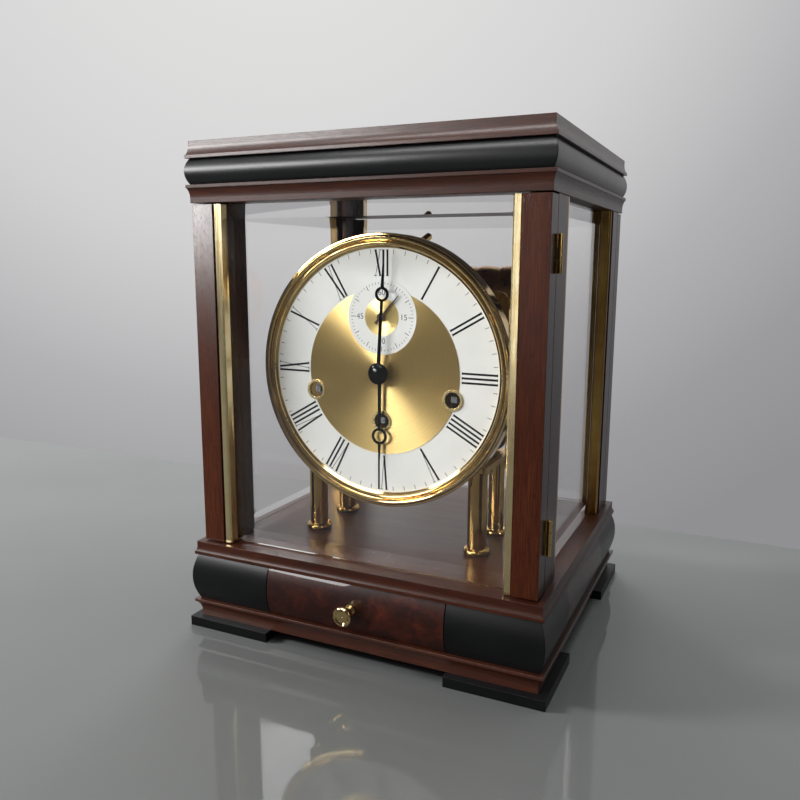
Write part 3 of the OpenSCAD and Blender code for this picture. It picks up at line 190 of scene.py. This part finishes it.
# Spun brass disc: turning rings, drawn 0.6 mm apart so that they show, which spread each lamp into a fan from the
# centre.
def spun_brass(name, centre, tones, rough):
    material, tree, coords = new_material(name)
    arm = add(tree, "VectorMath", {0: coords, 1: (centre[0] * MM, 0.0, centre[1] * MM)}, operation="SUBTRACT")
    flat = add(tree, "VectorMath", {0: arm, 1: (1.0, 0.0, 1.0)}, operation="MULTIPLY")
    radius = add(tree, "VectorMath", {0: flat}, operation="LENGTH").outputs["Value"]
    rings = add(tree, "TexNoise", {"W": radius, "Scale": 1700.0, "Detail": 2.0}, noise_dimensions="1D")
    colour = add(tree, "ValToRGB", {0: rings}, stops=[(0.3, tones[0]), (0.7, tones[1])])
    gloss = add(tree, "MapRange", {0: rings, 1: 0.3, 2: 0.7, 3: rough - 0.02, 4: rough + 0.02})
    outward = add(tree, "VectorMath", {0: flat}, operation="NORMALIZE")
    shader = add(tree, "BsdfPrincipled", {"Base Color": colour, "Metallic": 1.0, "Roughness": gloss,
                                          "Anisotropic": 0.9, "Tangent": outward})
    add(tree, "OutputMaterial", {"Surface": shader})
    return material


# Plain finish with a slight mottle of the given size: paint, ink, steel and the like.
def mottled(name, tones, rough, size, metallic=0.0, shine=0.5):
    material, tree, coords = new_material(name)
    patch = add(tree, "TexNoise", {"Vector": coords, "Scale": 1000.0 / size, "Detail": 3.0, "Roughness": 0.6})
    colour = add(tree, "ValToRGB", {0: patch}, stops=[(0.3, tones[0]), (0.7, tones[1])])
    gloss = add(tree, "MapRange", {0: patch, 1: 0.3, 2: 0.7, 3: rough - 0.03, 4: rough + 0.04})
    shader = add(tree, "BsdfPrincipled", {"Base Color": colour, "Roughness": gloss, "Metallic": metallic,
                                          "Specular IOR Level": shine})
    add(tree, "OutputMaterial", {"Surface": shader})
    return material


# Clear float glass with polished bevels: it bends what lies behind it, and lets lamps through.
def float_glass(name):
    material, tree, _ = new_material(name)
    pane = add(tree, "BsdfPrincipled", {"Base Color": linear("#ffffff"), "Roughness": 0.0, "IOR": 1.5,
                                        "Transmission Weight": 1.0})
    path = add(tree, "LightPath").outputs
    lamps = add(tree, "Math", {0: path["Is Shadow Ray"], 1: path["Is Diffuse Ray"]}, operation="MAXIMUM")
    clear = add(tree, "BsdfTransparent", {"Color": linear("#fcfdfd")})
    add(tree, "OutputMaterial", {"Surface": add(tree, "MixShader", {0: lamps, 1: pane, 2: clear})})
    return material


dial_low, dial_high = node_box("dial_plate")
dial_centre = ((dial_low[0] + dial_high[0]) / 2, (dial_low[2] + dial_high[2]) / 2)
second_low, second_high = node_box("seconds_dial")
second_centre = ((second_low[0] + second_high[0]) / 2, (second_low[2] + second_high[2]) / 2)

upright = hardwood("satin_hardwood_upright", "Z", tones=("#1a0a04", "#311409", "#462210"), rough=0.24, shine=0.16)
glass = float_glass("float_glass")
gloss_brass = brass("polished_brass", ("#d8b878", "#e7cb94"), 0.06)
eyelet_brass = brass("rolled_brass", ("#e4cb8e", "#efdaa3"), 0.24)
pillar_brass = brass("turned_brass", ("#b48d4a", "#cba866"), 0.08)
strip_brass = brass("drawn_brass", ("#ead09a", "#f4e2b4"), 0.2, (1500.0, 1500.0, 40.0))
# The side strips take a darker copy of the drawn brass: painted shade, as they stand in dimmer light than the strips
# in front.
side_brass = brass("shaded_drawn_brass", ("#b08a48", "#c6a160"), 0.16, (1500.0, 1500.0, 40.0))
hinge_brass = brass("dulled_brass", ("#c2a05e", "#d4b575"), 0.18)
plate_brass = brass("brushed_brass", ("#c09c54", "#d6b46c"), 0.3, (2000.0, 60.0, 60.0))
wheel_brass = brass("cut_brass", ("#c9a352", "#dfbe72"), 0.22)
bell_brass = brass("bell_metal", ("#c09158", "#dcb074"), 0.3)
turned_steel = mottled("turned_steel", ("#a9abae", "#c8cacc"), 0.22, 8.0, metallic=1.0)
black_paint = mottled("gloss_black_paint", ("#050505", "#0a0909"), 0.14, 6.0, shine=0.2)
browned_steel = mottled("browned_steel", ("#42352b", "#4e4036"), 0.3, 6.0, shine=0.3)
printing = mottled("black_printing_ink", ("#040404", "#080807"), 0.5, 4.0, shine=0.1)
grey_printing = mottled("grey_printing_ink", ("#71716f", "#7f7f7d"), 0.55, 4.0, shine=0.25)
dark_printing = mottled("dark_grey_printing_ink", ("#424241", "#4e4e4d"), 0.55, 4.0, shine=0.25)
silvering = mottled("silvered_dial_lacquer", ("#e9e8e3", "#efeeea"), 0.42, 20.0, shine=0.3)
beech = hardwood("oiled_beech", "Y", tones=("#7d5a3a", "#a07a50", "#b48d60"), rough=0.55)
disc_brass = spun_brass("spun_brass", dial_centre, ("#cdaf70", "#d6ba7c"), 0.32)
small_disc_brass = spun_brass("spun_brass_small", second_centre, ("#ecd089", "#f2d995"), 0.42)

finishes = {
    "feet": black_lacquer("black_lacquer_feet", 0.4, 0.2),
    "base_corner_blocks": black_lacquer("black_lacquer_base", 0.33, 0.26),
    "frieze": black_lacquer("black_lacquer_top", 0.3, 0.42),
    "base_panels": burl("burl_veneer_panels"),
    "drawer_front": burl("burl_veneer_drawer"),
    "drawer_guides": beech, "drawer_box": beech,
    "corner_posts": upright, "front_door_stiles": upright, "rear_door_stiles": upright,
    "side_glass": glass, "front_door_glass": glass, "rear_door_glass": glass,
    "side_strips": side_brass, "front_door_strips": strip_brass, "rear_door_strips": strip_brass,
    "dial_plate": silvering, "seconds_dial": silvering, "centre_disc": disc_brass, "winding_eyelets": eyelet_brass,
    "movement_pillars": pillar_brass, "bells": bell_brass,
    "minute_hand": black_paint, "hour_hand": black_paint, "second_hand": browned_steel,
    "front_plate": plate_brass, "back_plate": plate_brass, "seat_plate": plate_brass, "platform": plate_brass,
    "clicks": turned_steel, "time_winding_arbor": turned_steel, "chime_winding_arbor": turned_steel,
    "strike_winding_arbor": turned_steel,
}
MITRED_STRIP = 16.0
for name, shine in (("base_board", 0.6), ("case_floor", 0.23), ("under_board", 0.27), ("top_board", 0.5)):
    finishes[name] = hardwood("satin_hardwood_" + name, box=node_box(name), strip=MITRED_STRIP, shine=shine)
for name in ("case_hinges", "front_door_leaves", "rear_door_leaves"):
    finishes[name] = hinge_brass
for name in ("drawer_knob", "bezel", "bell_stand", "plate_pillars"):
    finishes[name] = gloss_brass
for name, thing in nodes.items():
    thing.data.materials.clear()
    thing.data.materials.append(finishes.get(name, wheel_brass))


def mesh_piece(name, points, faces, material, body):
    """Mesh from an array of points in millimetres and a list of faces, put on a body of the part."""
    mesh = bpy.data.meshes.new(name)
    mesh.from_pydata((np.asarray(points, float) * MM).tolist(), [], faces)
    mesh.materials.append(material)
    piece = bpy.data.objects.new(name, mesh)
    bpy.context.scene.collection.objects.link(piece)
    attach(piece, body)


BOX_FACES = np.array([[3, 2, 1, 0], [4, 5, 6, 7], [0, 1, 5, 4], [1, 2, 6, 5], [2, 3, 7, 6], [3, 0, 4, 7]])


def flat_marks(name, corners, face_y, thickness, material):
    """Thin prisms on a dial: corners is an array (marks, 4, 2) of X and Z, clockwise from the front. Each outline
    is set on the dial's face and again one thickness nearer the viewer, and six faces join the eight points."""
    count = len(corners)
    points = np.empty((count, 2, 4, 3))
    points[..., 0] = corners[:, None, :, 0]
    points[..., 1] = face_y
    points[:, 0, :, 1] -= np.broadcast_to(thickness, count)[:, None]
    points[..., 2] = corners[:, None, :, 1]
    faces = BOX_FACES[None] + 8 * np.arange(count)[:, None, None]
    mesh_piece(name, points.reshape(-1, 3), faces.reshape(-1, 4).tolist(), material, "case")


def radial_strokes(turn, start, end, width):
    """Corners of strokes on a round dial. A stroke joins two points given as sideways place and radius in a frame
    that is turned clockwise by an angle: point = radius * (sin, cos) + sideways * (cos, -sin). The width is set
    off across the stroke, half to each side."""
    turn, start, end = np.radians(turn), np.asarray(start, float), np.asarray(end, float)
    along = end - start
    along /= np.linalg.norm(along, axis=1, keepdims=True)
    across = np.stack([along[:, 1], -along[:, 0]], 1) * (np.asarray(width, float) / 2)[:, None]
    local = np.stack([start - across, end - across, end + across, start + across], 1)
    out = np.stack([np.sin(turn), np.cos(turn)], 1)[:, None]
    side = np.stack([np.cos(turn), -np.sin(turn)], 1)[:, None]
    return local[..., 1:] * out + local[..., :1] * side


# Roman numerals: strokes 2.6 mm apart, heavy and light ones, each end with a short cross bar. The twelve stops short
# of the seconds dial. Radii are taken from the dial's centre, and the print's thickness from its face.
NUMERALS = ["I", "II", "III", "IIII", "V", "VI", "VII", "VIII", "IX", "X", "XI", "XII"]
HEAVY, LIGHT, BAR_L, BAR_W = 1.15, 0.3, 1.6, 0.4
NUMERAL_OUTER, NUMERAL_INNER, TWELVE_INNER = 69.7, 48.9, 55.0
PRINT, BAR_PRINT = 0.05, 0.06
ADVANCE = {"I": 2.6, "V": 4.2, "X": 4.2}
STROKES = {"I": [(0.0, 0.0, HEAVY)], "V": [(-1.6, 0.0, HEAVY), (1.6, 0.0, LIGHT)],
           "X": [(-1.5, 1.5, HEAVY), (1.5, -1.5, LIGHT)]}
strokes = []
for hour, letters in enumerate(NUMERALS, 1):
    inner, outer = TWELVE_INNER if hour == 12 else NUMERAL_INNER, NUMERAL_OUTER
    sideways = -sum(ADVANCE[c] for c in letters) / 2
    for letter in letters:
        middle = sideways + ADVANCE[letter] / 2
        sideways += ADVANCE[letter]
        for top, foot, width in STROKES[letter]:
            strokes.append((30.0 * hour, middle + foot, inner, middle + top, outer, width, PRINT))
            ends = [(top, outer - BAR_W / 2)] + ([] if letter == "V" else [(foot, inner + BAR_W / 2)])
            strokes += [(30.0 * hour, middle + at - BAR_L / 2, r, middle + at + BAR_L / 2, r, BAR_W, BAR_PRINT)
                        for at, r in ends]
strokes = np.array(strokes)
flat_marks("hour_numerals", radial_strokes(strokes[:, 0], strokes[:, 1:3], strokes[:, 3:5], strokes[:, 5])
           + np.array(dial_centre), dial_low[1], strokes[:, 6], printing)


def ticks(name, turn, inner, outer, width, centre, face_y):
    """Straight marks that point at a dial's centre, from an inner to an outer radius at each angle in degrees."""
    middle = np.zeros(len(turn))
    marks = radial_strokes(turn, np.stack([middle, middle + inner], 1), np.stack([middle, middle + outer], 1),
                           middle + width)
    flat_marks(name, marks + np.array(centre), face_y, PRINT, grey_printing)


MINUTE_INNER, MINUTE_OUTER, MINUTE_W = 67.6, 70.1, 0.4
minutes = np.array([m for m in range(60) if m % 5])
ticks("minute_ticks", 6.0 * minutes, MINUTE_INNER, MINUTE_OUTER, MINUTE_W, dial_centre, dial_low[1])

FIFTH_INNER, SECOND_INNER, SECOND_OUTER, FIFTH_W, SECOND_W = 16.8, 18.6, 19.7, 0.45, 0.3
seconds = np.arange(60)
fifth = seconds % 5 == 0
ticks("second_ticks", 6.0 * seconds, np.where(fifth, FIFTH_INNER, SECOND_INNER), SECOND_OUTER,
      np.where(fifth, FIFTH_W, SECOND_W), second_centre, second_low[1])

# The font's size for each millimetre of its figures' height.
SIZE_PER_HEIGHT = 1.4


def numbers(name, words, height, radius, centre, face_y, material):
    """Plain numbers set upright round a small dial: flat text outlines turned to face the viewer."""
    made = []
    for turn, word in words:
        curve = bpy.data.curves.new(name, "FONT")
        curve.body, curve.size = word, height * SIZE_PER_HEIGHT * MM
        curve.align_x, curve.align_y = "CENTER", "CENTER"
        text = bpy.data.objects.new(name + "_text", curve)
        bpy.context.scene.collection.objects.link(text)
        bpy.context.view_layer.update()
        mesh = bpy.data.meshes.new_from_object(text)
        bpy.data.objects.remove(text)
        flat = np.empty(len(mesh.vertices) * 3)
        mesh.vertices.foreach_get("co", flat)
        flat = flat.reshape(-1, 3) / MM
        turn = math.radians(turn)
        points = np.stack([flat[:, 0] + centre[0] + radius * math.sin(turn), np.full(len(flat), face_y - PRINT),
                           flat[:, 1] + centre[1] + radius * math.cos(turn)], 1)
        made.append((points, [list(p.vertices) for p in mesh.polygons]))
        bpy.data.meshes.remove(mesh)
    offsets = np.cumsum([0] + [len(p) for p, f in made])
    faces = [[v + o for v in face] for (p, f), o in zip(made, offsets.tolist()) for face in f]
    mesh_piece(name, np.concatenate([p for p, f in made]), faces, material, "case")


NUMBER_H, NUMBER_R = 3.3, 13.8
numbers("second_numbers", [(0, "60"), (90, "15"), (180, "30"), (270, "45")], NUMBER_H, NUMBER_R, second_centre,
        second_low[1], dark_printing)


def turned_piece(name, profile, centre, steps, material, body):
    """Surface of revolution about a line along Y: a profile of (radius, y) pairs carried round a full turn, closed
    along the profile's own loop."""
    profile = np.asarray(profile, float)
    angle = np.linspace(0, 2 * math.pi, steps, endpoint=False)
    points = np.empty((steps, len(profile), 3))
    points[..., 0] = centre[0] + np.cos(angle)[:, None] * profile[None, :, 0]
    points[..., 1] = profile[None, :, 1]
    points[..., 2] = centre[1] + np.sin(angle)[:, None] * profile[None, :, 0]
    index = np.arange(steps * len(profile)).reshape(steps, len(profile))
    right, up = np.roll(index, -1, 0), np.roll(index, -1, 1)
    faces = np.stack([index, up, np.roll(right, -1, 1), right], -1).reshape(-1, 4)
    mesh_piece(name, points.reshape(-1, 3), faces.tolist(), material, body)


SMALL_DISC_HOLE, SMALL_DISC_R, SMALL_DISC_T, SMALL_DISC_STEPS = 1.7, 10.7, 0.08, 96
back_y, front_y = second_low[1], second_low[1] - SMALL_DISC_T
ring = [(SMALL_DISC_HOLE, back_y), (SMALL_DISC_HOLE, front_y), (SMALL_DISC_R, front_y), (SMALL_DISC_R, back_y)]
turned_piece("seconds_centre", ring, second_centre, SMALL_DISC_STEPS, small_disc_brass, "case")

# Studio: a pale polished table top, a little clouded, that ends behind the clock; soft lamps; and a camera where the
# photograph was taken.
TABLE_REACH, TABLE_EDGE, TABLE_GAP = 4000.0, 214.0, 0.05
table, tree, coords = new_material("pale_table")
cloud = add(tree, "TexNoise", {"Vector": coords, "Scale": 6.0, "Detail": 2.0})
colour = add(tree, "ValToRGB", {0: cloud}, stops=[(0.3, "#959897"), (0.7, "#9b9e9d")])
shader = add(tree, "BsdfPrincipled", {"Base Color": colour, "Roughness": 0.05, "IOR": 1.45,
                                      "Specular IOR Level": 0.3})
add(tree, "OutputMaterial", {"Surface": shader})
corners = [(x, y) for x in (-TABLE_REACH, TABLE_REACH) for y in (-TABLE_REACH, TABLE_EDGE)]
floor_mesh = bpy.data.meshes.new("floor")
floor_mesh.from_pydata((np.column_stack([corners, np.full(4, -TABLE_GAP)]) * MM).tolist(), [], [[0, 2, 3, 1]])
floor_mesh.materials.append(table)
floor = bpy.data.objects.new("floor", floor_mesh)
bpy.context.scene.collection.objects.link(floor)

# A room with a pale wall behind, brightest at the upper left. Metal and gloss mirror it, with a bright corner at the
# right rear and a dim side in front, which the camera never meets bare. The light that falls on the clock from all
# round is weaker. The axes point to where that light, the wall and the corner are brightest, and the plain wall is
# the least that the camera meets, on the scale of the wall's shades.
SOFT_AXIS, WALL_AXIS, CORNER_AXIS = (-0.75, 0.6, 0.28), (-0.5, 0.74, 0.45), (0.35, 0.9, 0.25)
PLAIN_WALL = 0.6
world = bpy.data.worlds.new("studio")
bpy.context.scene.world = world
world.use_nodes = True
tree = world.node_tree
tree.nodes.clear()
outlook = add(tree, "TexCoord").outputs["Generated"]
towards, behind, beside = (add(tree, "VectorMath", {0: outlook, 1: axis}, operation="DOT_PRODUCT").outputs["Value"]
                           for axis in (SOFT_AXIS, WALL_AXIS, CORNER_AXIS))
level = add(tree, "MapRange", {0: towards, 1: -0.1, 2: 1.0, 3: 0.06, 4: 0.76})
soft = add(tree, "Background", {"Color": linear("#d9d8dc"), "Strength": level})
path = add(tree, "LightPath").outputs
corner = add(tree, "MapRange", {0: beside, 1: 0.8, 2: 0.97, 3: 0.0, 4: 0.86})
sheen = add(tree, "Math", {0: corner, 1: path["Is Glossy Ray"]}, operation="MULTIPLY")
brighter = add(tree, "Math", {0: behind, 1: sheen}, operation="MAXIMUM")
direct = add(tree, "Math", {0: path["Glossy Depth"], 1: 0.5}, operation="LESS_THAN")
backdrop = add(tree, "Math", {0: direct, 1: PLAIN_WALL}, operation="MULTIPLY")
shade = add(tree, "ValToRGB", {0: add(tree, "Math", {0: brighter, 1: backdrop}, operation="MAXIMUM")},
            stops=[(0.0, "#434345"), (0.45, "#7c7c7f"), (0.7, "#9c9b9d"), (0.8, "#b2b1b3"), (0.9, "#d2d1d2"),
                   (1.0, "#e2e2e1")])
seen = add(tree, "Math", {0: path["Is Camera Ray"], 1: path["Is Transmission Ray"]}, operation="MAXIMUM")
shown = add(tree, "Math", {0: seen, 1: path["Is Glossy Ray"]}, operation="MAXIMUM")
wall = add(tree, "Background", {"Color": shade})
add(tree, "OutputWorld", {"Surface": add(tree, "MixShader", {0: shown, 1: soft, 2: wall})})


def receivers(name, things, state):
    """Group for light linking: the things that a lamp leaves out, or the only things that it lights."""
    group = bpy.data.collections.new(name)
    for thing in things:
        group.objects.link(thing)
    for member in group.collection_objects:
        member.light_linking.link_state = state
    return group


# The polished table would mirror the lamps as white patches, so those in front don't shine on it, and the others
# light it by copies that it doesn't mirror. The low window gives the door's left stile its sheen at the top, and
# would stand as a white bar in the bevels. The card would stand as a white band in the front pane.
all_but_table = receivers("lit_by_front_lamps", [floor], "EXCLUDE")
table_alone = receivers("lit_by_table_lamps", [floor], "INCLUDE")
all_but_pane = receivers("lit_by_card", [floor, nodes["front_door_glass"]], "EXCLUDE")
stiles_alone = receivers("lit_by_low_window", [nodes["front_door_stiles"]], "INCLUDE")
LAMPS_AIM = np.array([0.0, 0.0, 150.0])


def lamp(name, place, width, height, power, lights, mirrored=True):
    """Soft box that looks at the middle of the clock: its place, width and height, its power in watts, the group
    that it lights, and whether shiny things mirror it."""
    light = bpy.data.lights.new(name, "AREA")
    light.shape, light.size, light.size_y, light.energy = "RECTANGLE", width * MM, height * MM, power
    thing = bpy.data.objects.new(name, light)
    thing.location = np.array(place) * MM
    aim = LAMPS_AIM - np.array(place)
    thing.rotation_euler = (math.acos(-aim[2] / np.linalg.norm(aim)), 0, math.atan2(aim[1], aim[0]) - math.pi / 2)
    thing.light_linking.receiver_collection = lights
    thing.visible_glossy = mirrored
    bpy.context.scene.collection.objects.link(thing)


for name, place, side, power in (("key", (-1330, -590, 820), 320, 10), ("ceiling", (100, 200, 1500), 1200, 6),
                                 ("rear", (-600, 1100, 1300), 700, 7)):
    lamp(name, place, side, side, power, lights=all_but_table)
    lamp(name + "_on_table", place, side, side, power, lights=table_alone, mirrored=False)
lamp("window", (-1058, -1261, 655), 800, 330, 19.5, lights=all_but_table)
lamp("low_window", (-1075, -1225, 380), 420, 240, 20, lights=stiles_alone)
lamp("overhead", (-300, -1200, 1400), 1000, 260, 11, lights=all_but_table)
lamp("card", (-217, -1230, 230), 54, 460, 0.32, lights=all_but_pane)
lamp("fill", (1100, -900, 450), 350, 350, 1.6, lights=all_but_table)

# The camera's place and its angles in degrees fit the corners of the case in the photograph.
CAMERA_PLACE, CAMERA_YAW, CAMERA_PITCH, CAMERA_ROLL = np.array([196.7, -449.15, 223.1]), 24.99, 10.09, 0.215
PHOTO_WIDTH, SHIFT = 800, -1.5
camera_data = bpy.data.cameras.new("camera")
camera_data.lens, camera_data.sensor_width, camera_data.shift_x = 34.79, 36.0, SHIFT / PHOTO_WIDTH
camera = bpy.data.objects.new("camera", camera_data)
yaw, pitch, roll = math.radians(CAMERA_YAW), math.radians(CAMERA_PITCH), math.radians(CAMERA_ROLL)
camera.location = CAMERA_PLACE * MM
forward = np.array([-math.sin(yaw) * math.cos(pitch), math.cos(yaw) * math.cos(pitch), -math.sin(pitch)])
right = np.array([math.cos(yaw), math.sin(yaw), 0.0])
up = np.cross(right, forward)
right, up = math.cos(roll) * right + math.sin(roll) * up, math.cos(roll) * up - math.sin(roll) * right
camera.rotation_euler = Matrix(np.stack([right, up, -forward], 1).tolist()).to_euler()
bpy.context.scene.collection.objects.link(camera)
bpy.context.scene.camera = camera
bpy.context.scene.view_settings.view_transform = "Standard"
